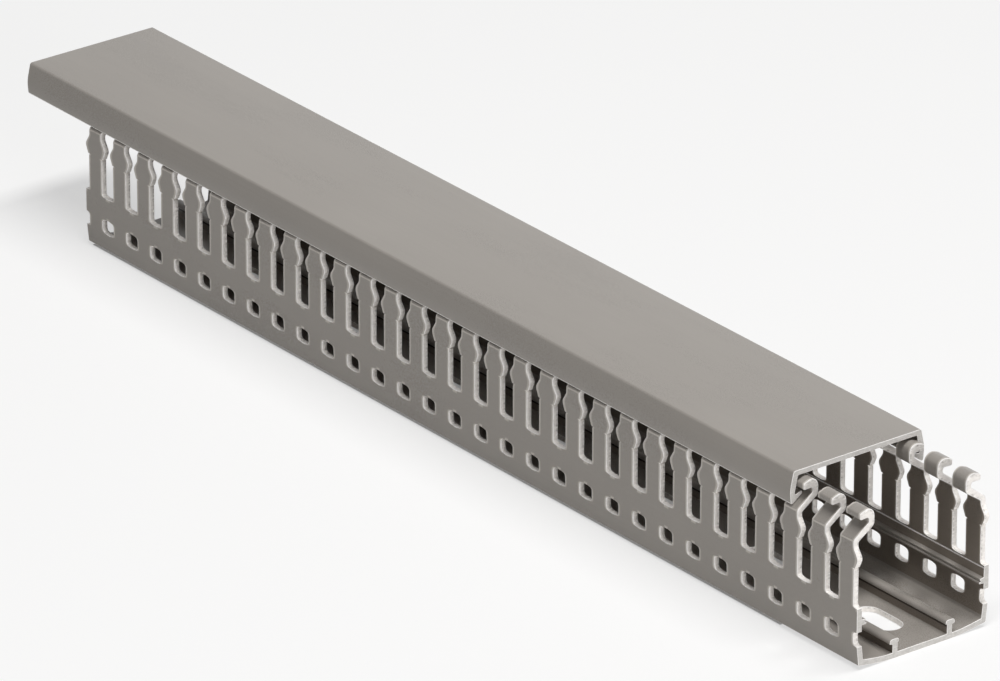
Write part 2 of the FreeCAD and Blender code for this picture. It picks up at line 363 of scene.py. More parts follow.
def edge_weights(data):
    """Weight of each edge, from the finishes on its two sides and from where it lies; and how many
    edges don't have two sides."""
    sizes, finish, edge_of = (np.empty(count, np.int32) for count in (
        len(data.polygons), len(data.polygons), len(data.loops)))
    data.polygons.foreach_get("loop_total", sizes)
    data.polygons.foreach_get("material_index", finish)
    data.loops.foreach_get("edge_index", edge_of)
    side = np.repeat(np.where(finish > SAWN, SKIN, finish), sizes)
    lowest, highest = np.full(len(data.edges), SAWN), np.full(len(data.edges), SKIN)
    np.minimum.at(lowest, edge_of, side)
    np.maximum.at(highest, edge_of, side)
    weight = np.where(lowest == highest, 0, np.where(highest == SAWN, SAWN_SHARE, 1))
    ends, place = np.empty((len(data.edges), 2), np.int32), np.empty((len(data.vertices), 3))
    data.edges.foreach_get("vertices", ends.ravel())
    data.vertices.foreach_get("co", place.ravel())
    from_end = LENGTH / 2 - np.abs(place[ends, 0] / MM).max(1)
    from_middle, height = np.abs(place[ends, 1]).mean(1) / MM, place[ends, 2].mean(1) / MM
    from_kink = np.abs(height - KINK)
    at_lip = (from_middle > LIP_ZONE[0]) & (height > LIP_ZONE[1])
    calm = np.where(from_end < LAST_REACH, LAST_SHARE, SAWN_SHARE)
    weight = np.where((weight == 1) & (from_end < END_CALM), calm, weight)
    weight = np.where((weight > 0) & (highest == PUNCHED) & (from_kink < NICK_REACH), NICK_SHARE, weight)
    weight = np.where((weight > 0) & (highest == PUNCHED) & at_lip, LIP_SHARE, weight)
    return weight, np.count_nonzero(np.bincount(edge_of) != 2)


print("edge rounding", EDGE_ROUNDING, "mm, sawn", round(EDGE_ROUNDING * SAWN_SHARE, 2), "mm")


# %% From mesh to piece
def dress(data, finishes, body, node):
    """Turns a shell's faces outwards, rounds its cut edges, and puts it in the node's place."""
    soft = bmesh.new()
    soft.from_mesh(data)
    bmesh.ops.recalc_face_normals(soft, faces=soft.faces)
    soft.to_mesh(data)
    soft.free()
    data.polygons.foreach_set("use_smooth", np.ones(len(data.polygons), bool))
    weight, open_edges = edge_weights(data)
    rounding = data.attributes.new("bevel_weight_edge", "FLOAT", "EDGE")
    rounding.data.foreach_set("value", weight.astype(np.float32))
    for finish in finishes:
        data.materials.append(finish)
    piece = bpy.data.objects.new(data.name, data)
    bpy.context.scene.collection.objects.link(piece)
    edge = piece.modifiers.new("cut_edges", "BEVEL")
    edge.limit_method = "WEIGHT"
    edge.width = EDGE_ROUNDING * MM
    edge.segments = 2
    edge.material = BURR
    edge.harden_normals = True
    edge.use_clamp_overlap = False
    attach(piece, body)
    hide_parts(node)
    print(data.name, "rides on", body, "with", open_edges, "open edges")


# %% [markdown]
# ## The walls
#
# A wall is made zone by zone up its height: the foot below the holes, the row of holes, the band
# between holes and slots, and the fingers. Inside, the band carries the rail, two small ridges that
# hold a cable clip, and above it a scored line, along which a whole wall can be torn off clean. In the
# foot and the band every cell is there. In the other two the cells between a slot's edges are left
# out, and the ladder between the outer and the inner grid closes the cut.

# %% Helpers for the walls
THROUGH = np.array([0.0, 1.0])  # from the outer to the inner face of a wall
hole_gap = float(hole_half(np.array(HOLE_FOOT)))
root_gap = float(slot_half(np.array(SLOT_ROOT)))


def sheet(line, gap):
    """Grid over one line of the section: each (distance, height) of it at every column."""
    x = columns(np.broadcast_to(gap, len(line)))
    y, z = (np.broadcast_to(line[:, axis, None], x.shape) for axis in (0, 1))
    return np.stack([x, y, z], axis=2)


def upright(face, heights):
    """The part of a wall's face at these heights, as a line of the section."""
    return np.stack([face(heights), heights], axis=1)


def between_cuts(z):
    """Half width of the columns' spread between the top of a hole and the root of the slot above."""
    return np.interp(z, [HOLE_TOP, SLOT_ROOT], [hole_gap, root_gap])


def through(outer, inner):
    """Ladder through the wall between partner grids."""
    return outer[..., None, :] + (inner - outer)[..., None, :] * THROUGH[:, None]


print("a hole's foot is", round(2 * hole_gap, 2), "mm wide, a slot's root", round(2 * root_gap, 2), "mm")

# %% The rail and the scored line
RAIL_FOOT, RAIL_TOP = 13.9, 15.75
GROOVE_FOOT, GROOVE_TOP = 14.6, 15.0  # of the groove between the two ridges
LOWER_RIDGE, RAIL_GROOVE, UPPER_RIDGE = 1.65, 1.05, 1.4  # how far each stands out
SCORE, SCORE_HALF, SCORE_DEPTH = SLOT_ROOT - 0.65, 0.3, 0.25
SCORE_RIM = 0.02  # of the score's lower slope that isn't whitened
CLOSE = 0.05  # how near a row must come to count as part of a form
face = W - WALL
rail = rounded([(face, HOLE_TOP), (face, RAIL_FOOT), (face - LOWER_RIDGE, RAIL_FOOT + 0.1),
                (face - LOWER_RIDGE, GROOVE_FOOT), (face - RAIL_GROOVE, GROOVE_FOOT + 0.05),
                (face - RAIL_GROOVE, GROOVE_TOP - 0.1), (face - UPPER_RIDGE, GROOVE_TOP),
                (face - UPPER_RIDGE, RAIL_TOP - 0.15), (face, RAIL_TOP),
                (face, SCORE - SCORE_HALF), (face + SCORE_DEPTH, SCORE), (face, SCORE + SCORE_HALF),
                (face, SLOT_ROOT)],
               [0.12, 0.16, 0.16, 0.06, 0.06, 0.16, 0.16, 0.12, 0.16, 0.06, 0.16], 2)
height = (rail[:-1, 1] + rail[1:, 1]) / 2
whitened = (height > SCORE - SCORE_HALF + SCORE_RIM) & (height < SCORE)
on_rail = (height > RAIL_FOOT + CLOSE) & (height < RAIL_TOP + CLOSE)
# the rail keeps the outer skin's lighter colours instead of the inside's painted shade, as its ridges catch
# the light
rail_finish = np.select([on_rail, whitened], [SKIN, BURR], INNER_SHADED)[:, None]
print(len(rail), "points up the inner band,", np.count_nonzero(rail_finish == BURR), "whitened rows")

# %% The grids of a wall
JUNCTION = 4.0  # height at which wall and floor meet
MID_FOOT, MID_BAND = 5.7, 15.6  # height of the one row in the foot and in the band
foot_rows = np.array([JUNCTION, MID_FOOT, HOLE_FOOT])
band_rows = np.array([HOLE_TOP, MID_BAND, SLOT_ROOT])
outer_leg = np.vstack([upright(outer_wall, leg_rows), hook_out])
inner_leg = np.vstack([upright(inner_wall, leg_rows), hook_in])
sides = (outer_wall, inner_wall)
foot_out, foot_in = (sheet(upright(side, foot_rows), hole_gap) for side in sides)
hole_out, hole_in = (sheet(upright(side, hole_rows), hole_half(hole_rows)) for side in sides)
band_out = sheet(upright(outer_wall, band_rows), between_cuts(band_rows))
band_in = sheet(rail, between_cuts(rail[:, 1]))
leg_out, leg_in = (sheet(line, slot_half(line[:, 1])) for line in (outer_leg, inner_leg))
print("grids", foot_out.shape[:2], hole_out.shape[:2], band_in.shape[:2], leg_out.shape[:2])

# %% [markdown]
# The skin takes the number called reach from its place in the pattern. Between the edges of a slot it
# is 1 on the row that touches a cut, and on a finger it is 1 on the columns at the cut. The bend of a
# finger gets it too, which paints a highlight along the bend in the same pale tone.


# %% Skins of a wall
# the bend's painted highlight lies on these rows
BEND_HIGHLIGHT_ROWS = slice(len(leg_rows) + 1, len(leg_rows) + 4)  # in the arc of a finger's bend


def wall_skin(shell, flip):
    """Adds the outer and inner faces zone by zone, and the nose of the lip."""
    touching = np.zeros((len(rail), 1))
    touching[[0, -1]] = 1
    below, beside = np.array([[0], [0], [1]]), np.array([[1], [0], [1]])
    for grid, finish, reach in ((foot_out, SKIN, below), (foot_in, INNER_SHADED, below),
                                (band_out, SKIN, beside), (band_in, rail_finish, touching)):
        shell.grid(grid * flip, finish, keep=in_slot, reach=reach)
        shell.grid(grid * flip, finish, keep=~in_slot)
    bend_highlight = np.zeros((len(outer_leg), 1))
    bend_highlight[BEND_HIGHLIGHT_ROWS] = 1
    # the legs' inner faces carry the inside's painted shade, the hooks' inner faces don't
    leg_finish = np.where(np.arange(len(inner_leg) - 1) < len(leg_rows), INNER_SHADED, SKIN)[:, None]
    for grid, finish, reach in ((hole_out, SKIN, at_edge), (hole_in, INNER_SHADED, at_edge),
                                (leg_out, SKIN, np.maximum(at_edge, bend_highlight)), (leg_in, leg_finish, at_edge)):
        shell.grid(grid * flip, finish, keep=~in_slot, reach=reach)
    shell.grid(np.stack([leg_out[-1], leg_in[-1]]) * flip, SKIN, keep=~in_slot, reach=at_edge)


print("pale rows of the bend at", np.round(outer_leg[BEND_HIGHLIGHT_ROWS, 1], 2).tolist(), "mm")


# %% Cuts and ends of a wall
left_edges = np.arange(1, len(slots)) * 3
right_edges = np.arange(len(slots) - 1) * 3 + 1
both_edges = np.arange(len(slots))[:, None] * 3 + np.arange(2)


def wall_cuts(shell, flip):
    """Adds everything that was punched: ladders up both sides of each gap and across its ends."""
    for outer, inner in ((hole_out, hole_in), (leg_out, leg_in)):
        for edges in (left_edges, right_edges):
            ladder = through(outer[:, edges], inner[:, edges]).transpose(1, 0, 2, 3)
            shell.grid(ladder * flip, PUNCHED, reach=THROUGH)
    for outer, inner in ((hole_out[0], hole_in[0]), (hole_out[-1], hole_in[-1]), (leg_out[0], leg_in[0])):
        shell.grid(through(outer[both_edges], inner[both_edges]) * flip, PUNCHED, reach=THROUGH)


def wall_ends(shell, flip):
    """Adds the sawn face of the band at each end, from the hole's lintel to the slot's root."""
    for end in (0, -1):
        root = through(leg_out[0, end], leg_in[0, end])
        lintel = through(hole_out[-1, end], hole_in[-1, end])[::-1]
        shell.cap(np.vstack([band_out[:, end], root, band_in[::-1, end], lintel]) * flip)


print(len(left_edges) + len(right_edges), "sides of gaps in each wall")

# %% [markdown]
# ## The floor
#
# The underside is flat in the middle and turns up towards the corners, so that the duct sits firmly
# when its screws pull it to a plate. On top stand two ribs with mushroom heads. The screw slots lie
# between them. A grid has no place for a slot's outline, so each slot gets a window, a block of cells
# left out, and rings of points lead from the window's border in to the outline.

# %% Lines of the floor
FLOOR = 1.8
BOW = 14.0  # distance from the middle at which the floor turns up
EASE_UNDER, EASE_TOP = 5.0, 2.7  # how far that bend reaches below and above; above, ribs limit it
WINDOW = 6.5
RIB_IN, RIB_OUT = 9.1, 10.95  # the rib's two sides, from the middle
HEAD_IN, HEAD_OUT, HEAD_FOOT, HEAD_TOP = 8.6, 12.0, 4.8, 6.15
HEAD_SLOPE, HEAD_DROOP = 0.05, 0.2  # its faces aren't quite level, and its outer side hangs lower
STEM_REACH = 1.15  # from the middle of a rib's stem to just past its sides
INNER_CORNER = (21.77, 2.957)  # where the turned-up floor meets the wall's inner face
CORNER_RADIUS = 0.45  # at the foot of a wall, below and above
window_rows = np.linspace(-WINDOW, WINDOW, 15)
half_turn = math.atan(FLOOR_RISE / (W - FOOT_INSET - BOW)) / 2
under_half = rounded([(WINDOW, 0), (BOW, 0), (W - FOOT_INSET, FLOOR_RISE),
                      (outer_wall(JUNCTION), JUNCTION)],
                     [EASE_UNDER / math.tan(half_turn), CORNER_RADIUS], 6)
top_half = rounded([(WINDOW, FLOOR), (RIB_IN, FLOOR), (RIB_IN, HEAD_FOOT),
                    (HEAD_IN, HEAD_FOOT + HEAD_SLOPE), (HEAD_IN, HEAD_TOP),
                    (HEAD_OUT, HEAD_TOP - HEAD_SLOPE), (HEAD_OUT, HEAD_FOOT - HEAD_DROOP),
                    (RIB_OUT, HEAD_FOOT - HEAD_DROOP - 0.1), (RIB_OUT, FLOOR), (BOW, FLOOR), INNER_CORNER,
                    (inner_wall(JUNCTION), JUNCTION)],
                   [0.2, 0.12, 0.2, 0.9, 1.0, 0.4, 0.15, 0.2, EASE_TOP / math.tan(half_turn),
                    CORNER_RADIUS], 3)
# painted shade: the dark line under a rib's head
SHADE_LINE_FOOT, SHADE_LINE_TOP = 3.85, 4.12  # where the dark line under a rib's head fades in
stem_top = np.flatnonzero(top_half[:, 1] > SHADE_LINE_TOP)[0]
top_half = np.insert(top_half, stem_top, [(RIB_IN, SHADE_LINE_FOOT), (RIB_IN, SHADE_LINE_TOP)], axis=0)


def whole(half):
    """A line across the whole floor: its half, the rows of the windows, and the half's mirror image."""
    middle = np.stack([window_rows[1:-1], np.full(len(window_rows) - 2, half[0, 1])], axis=1)
    return np.vstack([half[::-1] * [-1, 1], middle, half])


print(len(whole(under_half)), "points across the underside,", len(whole(top_half)), "across the top")

# %% [markdown]
# Right under the heads of the ribs the real duct shows nearly black lines, and the ribs' outer sides
# are dark as well. Little light gets in there, and light alone gives only part of it here, because the
# heads are rounded. So the rest is painted shade, one more use of the reach: the rows there carry a
# number below nought, which the finish turns into a darker tone. It costs two Math nodes, it ends
# exactly at the groove, and it goes with the mesh into an export.

# %% Painted shade in the grooves
# painted shade: a reach below nought darkens the finish under a rib's head and on its outer side
SHADE_UNDER_HEAD, SHADE_ON_RIB_SIDE = -1.0, -0.5  # reach below nought makes a finish darker
NEAR_IN, NEAR_OUT = 0.15, 0.25  # how near a row must be to count as on a rib's inner or outer side


def painted_shade_reach(line):
    """Reach of each row of the floor, as painted shade: darkest right under a rib's head, on the side
    that faces the middle, dark on the rib's outer side, and nought elsewhere."""
    side, height = np.abs(line[:, 0]), line[:, 1]
    line_rows = (height > SHADE_LINE_TOP - CLOSE) & (height < HEAD_FOOT + CLOSE)
    side_rows = (height > FLOOR + CLOSE) & (height < HEAD_FOOT - HEAD_DROOP)
    under_head = line_rows & (np.abs(side - RIB_IN) < NEAR_IN)
    outside = side_rows & (np.abs(side - RIB_OUT) < NEAR_OUT)
    return np.select([under_head, outside], [SHADE_UNDER_HEAD, SHADE_ON_RIB_SIDE], 0.0)[:, None]


print(np.count_nonzero(painted_shade_reach(whole(top_half))), "darkened rows")

# %% [markdown]
# A screw slot is oblong, so that the duct can be shifted a little before its screw is tightened. Its
# outline could be drawn by itself and joined to the window by triangles. Here each point of the
# window's border gets its own point of the outline, the nearest one, so all faces between them have
# four corners. At the window's corners those points would crowd, and a small shift along the outline
# evens them out.

# %% Outline of a screw slot
SLOT_RADIUS = 4.2
SLOT_STRAIGHT = 4.5  # half of the straight part of a screw slot
EVENING = 0.35  # how far the points round it are moved towards equal steps
FIRST_SLOT, SLOT_SPACING, SCREW_SLOTS = 19.8, 50.0, 7  # distance from the end, spacing, and how many
screw_slots = LENGTH / 2 - FIRST_SLOT - SLOT_SPACING * np.arange(SCREW_SLOTS)


def oblong(x, y, middle):
    """Points of a screw slot's outline for the points of the window round it. Each has a nearest
    point of the outline, at an arc length of radius times angle, plus the straight part passed. That
    length is then moved a share of the way to equal steps, because the nearest points crowd."""
    core = np.clip(x - middle, -SLOT_STRAIGHT, SLOT_STRAIGHT)
    turned = SLOT_RADIUS * np.arctan2(y, x - middle - core)
    length = turned + np.where(y < 0, -1, 1) * (SLOT_STRAIGHT - core)
    whole_length = 2 * np.pi * SLOT_RADIUS + 4 * SLOT_STRAIGHT
    length = np.unwrap(length, period=whole_length)
    even = np.linspace(length[0], length[0] + whole_length, len(length))
    length += (even - length) * EVENING
    length -= whole_length * np.round(length / whole_length)
    passed = np.clip(np.abs(length) - SLOT_RADIUS * np.pi / 2, 0, 2 * SLOT_STRAIGHT)
    angle = (np.abs(length) - passed) / SLOT_RADIUS
    return (middle + SLOT_STRAIGHT - passed + SLOT_RADIUS * np.cos(angle),
            np.sign(length) * SLOT_RADIUS * np.sin(angle))


print("screw slots at x =", np.round(screw_slots, 1).tolist())


# %% The two faces of the floor
MARGIN = 1.0  # of the window, at least, past each end of its slot
RINGS = np.array([0, 0.6, 1])[:, None, None]  # where each ring lies between border and outline


def floor_face(shell, half):
    """Adds one face of the floor with a window round each screw slot, and rings from the windows'
    borders in to the slots' outlines. Returns the grid and the outlines."""
    line = whole(half)
    grid = sheet(line, hole_gap)
    rows = np.flatnonzero(np.abs(line[:, 0]) <= WINDOW + 1e-6)
    x = grid[0, :, 0]
    keep = np.ones((len(line) - 1, COLUMNS - 1), bool)
    outlines = []
    for middle in screw_slots:
        first = np.flatnonzero(x < middle - SLOT_STRAIGHT - SLOT_RADIUS - MARGIN)[-1]
        last = np.flatnonzero(x > middle + SLOT_STRAIGHT + SLOT_RADIUS + MARGIN)[0]
        keep[rows[0]:rows[-1], first:last] = False
        border = np.vstack([grid[rows[0], first:last], grid[rows[0]:rows[-1], last],
                            grid[rows[-1], last:first:-1], grid[rows[-1]:rows[0]:-1, first],
                            grid[rows[0], first:first + 1]])
        outline = np.stack([*oblong(border[:, 0], border[:, 1], middle), border[:, 2]], axis=1)
        shell.grid(border + (outline - border) * RINGS, SKIN)
        outlines.append(outline)
    between = (line[:-1] + line[1:]) / 2
    stem = np.abs(np.abs(between[:, 0]) - (RIB_IN + RIB_OUT) / 2) < STEM_REACH
    stem &= (between[:, 1] > FLOOR + CLOSE) & (between[:, 1] < HEAD_FOOT + CLOSE)
    # the ribs' stems take the inside's painted shade
    shell.grid(grid, np.where(stem, INNER_SHADED, SKIN)[:, None], keep=keep, reach=painted_shade_reach(line))
    return grid, outlines


print(len(RINGS), "rings of points from each window to its screw slot")

# %% [markdown]
# The trough is one piece of plastic, so it is one mesh. A wall is worked out once, and `flip` turns it
# into the other one by a minus sign across the duct; a mirror modifier would do as well, but then the
# floor, which is whole already, would have to be cut in two. The floor's sawn ends run up into the
# feet of both walls, as far as the holes that the saw has cut in half.


# %% The trough
def base_mesh():
    """The whole trough: two walls, the floor, and the sawn face at each end of the floor."""
    shell = Shell()
    for side in (-1, 1):
        flip = np.array([1, side, 1])
        wall_skin(shell, flip)
        wall_cuts(shell, flip)
        wall_ends(shell, flip)
    under, under_outlines = floor_face(shell, under_half)
    top, top_outlines = floor_face(shell, top_half)
    for outer, inner in zip(under_outlines, top_outlines):
        shell.grid(through(outer, inner), PUNCHED, reach=THROUGH)
    back = np.array([1, -1, 1])
    for end in (0, -1):
        up, down = foot_out[:, end], foot_in[::-1, end]
        sill = through(foot_out[-1, end], foot_in[-1, end])
        shell.cap(np.vstack([under[:, end], up, sill, down, top[::-1, end],
                             down[::-1] * back, sill[::-1] * back, up[::-1] * back]))
    return mesh_of(shell, "duct_base_dressed")


base_data = base_mesh()

# %% [markdown]
# ## The lid
#
# The lid is the simplest extrusion: one closed outline carried from end to end. Its flanges bulge a
# little on their way down, and their lips point inwards and up, at the slope of the fingers'
# shoulders, so that the lid snaps over the hooks and then slides along them. A profile like this could
# be a curve with an extrusion depth. A grid is used so that its lowest strip can take the finish of a
# whitened rim, as a painted highlight: the bright line under the flange.

# %% The lid's outline
LID_WALL = 1.6
CORNER_INSET = 0.8  # of the upper corners, from the walls' outer faces
BULGE, BULGE_DEPTH = 0.5, 5.9  # of the flange, and how far below the top
FLANGE = 1.1  # thickness of a flange where its lip leaves it
LIP_REACH, LIP_WALL = 3.9, 1.0  # how far a lip reaches in, and its thickness at the end
LID_CLEARANCE = 0.3  # over the fingers' shoulders
slope = SHOULDER_RISE / SHOULDER_RUN
lid_top, lid_foot = lid_high[2], BEND + LID_CLEARANCE * math.hypot(1, slope)
# one half, from the middle of the top round to the middle below it, then the seven corners' radii
lid_half = rounded([(0, lid_top), (W - CORNER_INSET, lid_top), (W + BULGE, lid_top - BULGE_DEPTH),
                    (W, lid_foot),
                    (W - LIP_REACH, lid_foot + LIP_REACH * slope),
                    (W - LIP_REACH, lid_foot + LIP_REACH * slope + LIP_WALL),
                    (W - FLANGE, lid_foot + FLANGE * slope + 2 * LIP_WALL),
                    (W - CORNER_INSET - LID_WALL, lid_top - LID_WALL), (0, lid_top - LID_WALL)],
                   [0.9, 12, 0.5, 0.45, 0.45, 0.45, 0.45], 6)
lid_loop = np.vstack([lid_half, (lid_half * [-1, 1])[-2:0:-1], lid_half[:1]])
# painted highlight: the pale strip at the foot of a flange
HIGHLIGHT_STRIP_HEIGHT, HIGHLIGHT_STRIP_WIDTH = 1.1, 0.45  # of the whitened strip at the foot of a flange
rim_and_highlight = (np.abs(lid_loop[:, 0]) > W - HIGHLIGHT_STRIP_WIDTH) & (lid_loop[:, 1] < lid_foot + HIGHLIGHT_STRIP_HEIGHT)
lid_finish = np.where(rim_and_highlight[:-1] & rim_and_highlight[1:], BURR, SKIN)[:, None]
print(len(lid_loop) - 1, "points round the lid, lowest", round(lid_loop[:, 1].min(), 2), "mm")


# %% The lid's mesh
END_STRIP, STATIONS = 0.4, 40  # length of the strip at each end, and stations between the strips


def lid_mesh():
    """The lid: each point of the outline at every station along x, and a sawn face on each end."""
    x = np.linspace(lid_low[0] + END_STRIP, lid_high[0] - END_STRIP, STATIONS)
    x = np.concatenate([[lid_low[0]], x, [lid_high[0]]])
    y, z = (np.broadcast_to(lid_loop[:, axis, None], (len(lid_loop), len(x))) for axis in (0, 1))
    grid = np.stack([np.broadcast_to(x, y.shape), y, z], axis=2)
    shell = Shell()
    shell.grid(grid, lid_finish)
    for end in (0, -1):
        shell.cap(grid[:-1, end])
    return mesh_of(shell, "duct_lid_dressed")


lid_data = lid_mesh()

# %% [markdown]
# ## Shader sums
#
# A material is a formula, so it is easier to read as one. The class below wraps a socket of a node
# tree. A sum or product of two such wires adds a Math node, and one method makes any other node. With
# that, `cloud * 0.15 + 0.29` is a roughness, and the node editor shows it as the nodes that it stands
# for.


# %% Wires
class Wire:
    """A socket of a material. Sums and products with it, from either side, add Math nodes."""

    def __init__(self, tree, socket=None):
        self.tree, self.socket = tree, socket

    def node(self, kind, settings=None, inputs=None, output=0):
        """Any node: its settings first, a ramp's stops among them, then its sockets' values or links."""
        node = self.tree.nodes.new(kind)
        for name, value in (settings or {}).items():
            if name == "stops":
                ramp = node.color_ramp
                ramp.elements.remove(ramp.elements[1])
                ramp.elements[0].position, ramp.elements[0].color = value[0][0], (value[0][1],) * 3 + (1,)
                for position, level in value[1:]:
                    ramp.elements.new(position).color = (level,) * 3 + (1,)
            else:
                setattr(node, name, value)
        for name, value in (inputs or {}).items():
            if isinstance(value, Wire):
                self.tree.links.new(value.socket, node.inputs[name])
            else:
                node.inputs[name].default_value = value
        return Wire(self.tree, node.outputs[output])

    def math(self, operation, *values):
        return self.node("ShaderNodeMath", {"operation": operation}, dict(enumerate(values)))

    def __add__(self, other):
        return self.math("ADD", self, other)

    def __sub__(self, other):
        return self.math("SUBTRACT", self, other)

    def __rsub__(self, other):
        return self.math("SUBTRACT", other, self)

    def __mul__(self, other):
        return self.math("MULTIPLY", self, other)

    __radd__ = __add__
    __rmul__ = __mul__


def material(name, viewport):
    """A new material, with its colour in the viewport, and a wire to start from."""
    made = bpy.data.materials.new(name)
    made.use_nodes = True
    made.diffuse_color = (*viewport, 1)
    return made, Wire(made.node_tree)


print("a wire can:", [name.strip("_") for name, made in vars(Wire).items() if callable(made)])

# %% [markdown]
# All finishes are made of the same few things. Nothing on plastic repeats exactly, so everything
# uneven is noise, stretched for what was drawn, sawn or torn in one direction. It sits about nought,
# so that it can be added to anything without making it paler on the whole. Everything ends in one
# shader with colour, roughness and a bump whose depth is given in metres.


# %% What all finishes share
def noise(wire, scale, stretch=(1, 1, 1), detail=3.0):
    """Noise about nought on Object coordinates, whose grain is 1/scale metres, stretched per axis."""
    place = wire.node("ShaderNodeTexCoord", output="Object")
    place = place.node("ShaderNodeVectorMath", {"operation": "MULTIPLY"}, {0: place, 1: stretch})
    return place.node("ShaderNodeTexNoise", {}, {"Vector": place, "Scale": scale, "Detail": detail}) - 0.5


def mix(factor, dark, light):
    """A colour between two. Its factor isn't clamped, so a rim may go beyond the light one and painted
    shade beyond the dark one."""
    return factor.node("ShaderNodeMix", {"data_type": "RGBA", "clamp_factor": False},
                       {"Factor": factor, 6: (*dark, 1), 7: (*light, 1)}, output=2)


def reach_of(wire):
    """The number that each corner keeps: how near it is to a cut, or how far through the wall."""
    return wire.node("ShaderNodeAttribute", {"attribute_name": "reach"}, output="Fac")


GLOSS = 0.3  # specular level: dull plastic reflects a little less than glass


def plastic(made, colour, roughness, height, depth):
    """Ends a finish: its colour, its roughness and the height of its grain, whose size is depth in
    metres, go to the material's shader."""
    shader = made.node_tree.nodes["Principled BSDF"]
    shader.inputs["Specular IOR Level"].default_value = GLOSS
    bump = height.node("ShaderNodeBump", {}, {"Height": height, "Distance": depth, "Strength": 1.0})
    for socket, wire in (("Base Color", colour), ("Roughness", roughness), ("Normal", bump)):
        made.node_tree.links.new(wire.socket, shader.inputs[socket])
    print(made.name, len(made.node_tree.nodes), "nodes")


print("specular level of all finishes", GLOSS)

# %% [markdown]
# ## Skin of the extrusion, outside and inside
#
# Rigid PVC comes out of the die satin and nearly even. What the eye reads as real is small: faint
# lines along the draw direction, slow clouds in colour and gloss, a fine grain, and a pale line along
# everything that was cut. The walls' inner faces and the sides of the ribs are the same plastic. Their
# own darker, browner pair of colours is painted shade, for the little light that gets into the trough.
# One function makes both.


# %% Extruded skin
# painted shade: how far a reach below nought darkens the finish
PAINTED_SHADE_DEPTH = 3.0  # how dark a reach of -1 is, in steps from the light colour to the dark one


def extruded(name, viewport, dark, light, edge, rise, whitening_and_highlight):
    """Colour from dark to light with draw lines, clouds, grain and a few scuffs. It is whitened where
    reach passes the edge, within a rise of so much, which is real whitening at the cuts and a painted
    highlight along the bends, and darkened as painted shade where reach is below nought."""
    made, wire = material(name, viewport)
    lines = noise(wire, 1.0, (9, 1300, 1300))
    cloud = noise(wire, 38, (0.35, 1, 1), 4.0)
    grain = noise(wire, 3200)
    scuff = noise(wire, 240, (0.6, 1.6, 1), 5.0)
    scuff = scuff.math("GREATER_THAN", scuff, 0.2)
    reach = reach_of(wire)
    painted_shade = reach.math("MINIMUM", reach, 0.0) * PAINTED_SHADE_DEPTH
    near = reach + noise(wire, 700) * 0.05
    rim_and_highlight = near.node("ShaderNodeMapRange", {"clamp": True}, {"Value": near, 1: edge, 2: edge + rise})
    # each unevenness counts by its factor, about half way between the two colours
    share = lines * 0.25 + cloud * 0.8 + grain * 0.4 + scuff * 0.08 + rim_and_highlight * whitening_and_highlight + painted_shade + 0.5
    plastic(made, mix(share, dark, light), cloud * 0.15 + grain * 0.08 + 0.29,
            lines * 0.5 + grain * 0.6, 0.000005)
    return made


skin = extruded("extruded_grey", (0.32, 0.307, 0.288), (0.28, 0.257, 0.233), (0.366, 0.338, 0.307),
                0.72, 0.1, 2.6)
# the inside of the trough: the same plastic in a darker pair of colours, which is painted shade
inner = extruded("inner_grey_painted_shade", (0.2, 0.192, 0.18), (0.185, 0.158, 0.133), (0.245, 0.212, 0.18),
                 0.78, 0.08, 3.0)

# %% [markdown]
# ## Punched faces
#
# A punch shears the first part of the way through the wall and tears the rest. So a cut face has a
# bright rim where the tool entered, an even matt zone, and towards the inner face a rough one with
# dark pits. The reach says how far through the wall a point is, a colour ramp turns that into zones,
# and noise makes their borders wander as they do on a real cut.

# %% Punched finish
# stops: share of the way through the wall, and how pale or how torn the face is there
ZONES = [(0.0, 0.9), (0.14, 0.62), (0.6, 0.7), (0.72, 0.45), (0.9, 0.35), (1.0, 0.8)]
TORN = [(0.0, 0.0), (0.55, 0.0), (0.8, 1.0)]
punched, wire = material("punched_grey", (0.62, 0.595, 0.558))
reach = reach_of(wire)
wobble = noise(wire, 420, (1, 1, 1), 4.0)
tear = noise(wire, 1500, (1, 0.45, 1), 4.0)
zone = wire.node("ShaderNodeValToRGB", {"stops": ZONES}, {"Fac": reach + wobble * 0.22})
torn = wire.node("ShaderNodeValToRGB", {"stops": TORN}, {"Fac": reach + wobble * 0.3})
# the zones, the tears, four times as strong where the face is torn, and the slow wobble
share = zone * 0.8 + tear * (torn * 3.2 + 1.0) + wobble * 0.5 + 0.17
plastic(punched, mix(share, (0.61, 0.58, 0.548), (0.98, 0.94, 0.9)), tear * 0.2 + 0.62,
        tear + wobble * 0.4, 0.00016)

# %% [markdown]
# ## Sawn ends
#
# The ends were cut with a fine saw, square across. The blade leaves flat, slightly furry faces, paler
# than the skin: noise that is drawn out along the cut for the teeth, and an even crumble on top.

# %% Sawn finish
sawn, wire = material("sawn_grey", (0.58, 0.557, 0.522))
teeth = noise(wire, 1.0, (500, 260, 2600), 3.0)
crumbs = noise(wire, 1300, (1, 1, 1), 4.0)
plastic(sawn, mix(teeth * 0.8 + crumbs * 0.8 + 0.5, (0.42, 0.4, 0.375), (0.72, 0.7, 0.675)),
        crumbs * 0.2 + 0.6, teeth + crumbs * 0.5, 0.00006)

# %% [markdown]
# ## Whitened rims
#
# Where PVC is cut or dragged over an edge it turns nearly white. The bevel modifier gives its new
# faces this finish, and so does the scored line. The lowest strip of the lid's flange takes it too, as
# a painted highlight.

# %% Rim finish
burr, wire = material("burr_grey", (0.78, 0.749, 0.702))
frays = noise(wire, 900, (1, 1, 1), 4.0)
plastic(burr, mix(frays * 1.4 + 0.5, (0.72, 0.7, 0.68), (0.98, 0.96, 0.94)), frays * 0.2 + 0.55,
        frays, 0.00005)

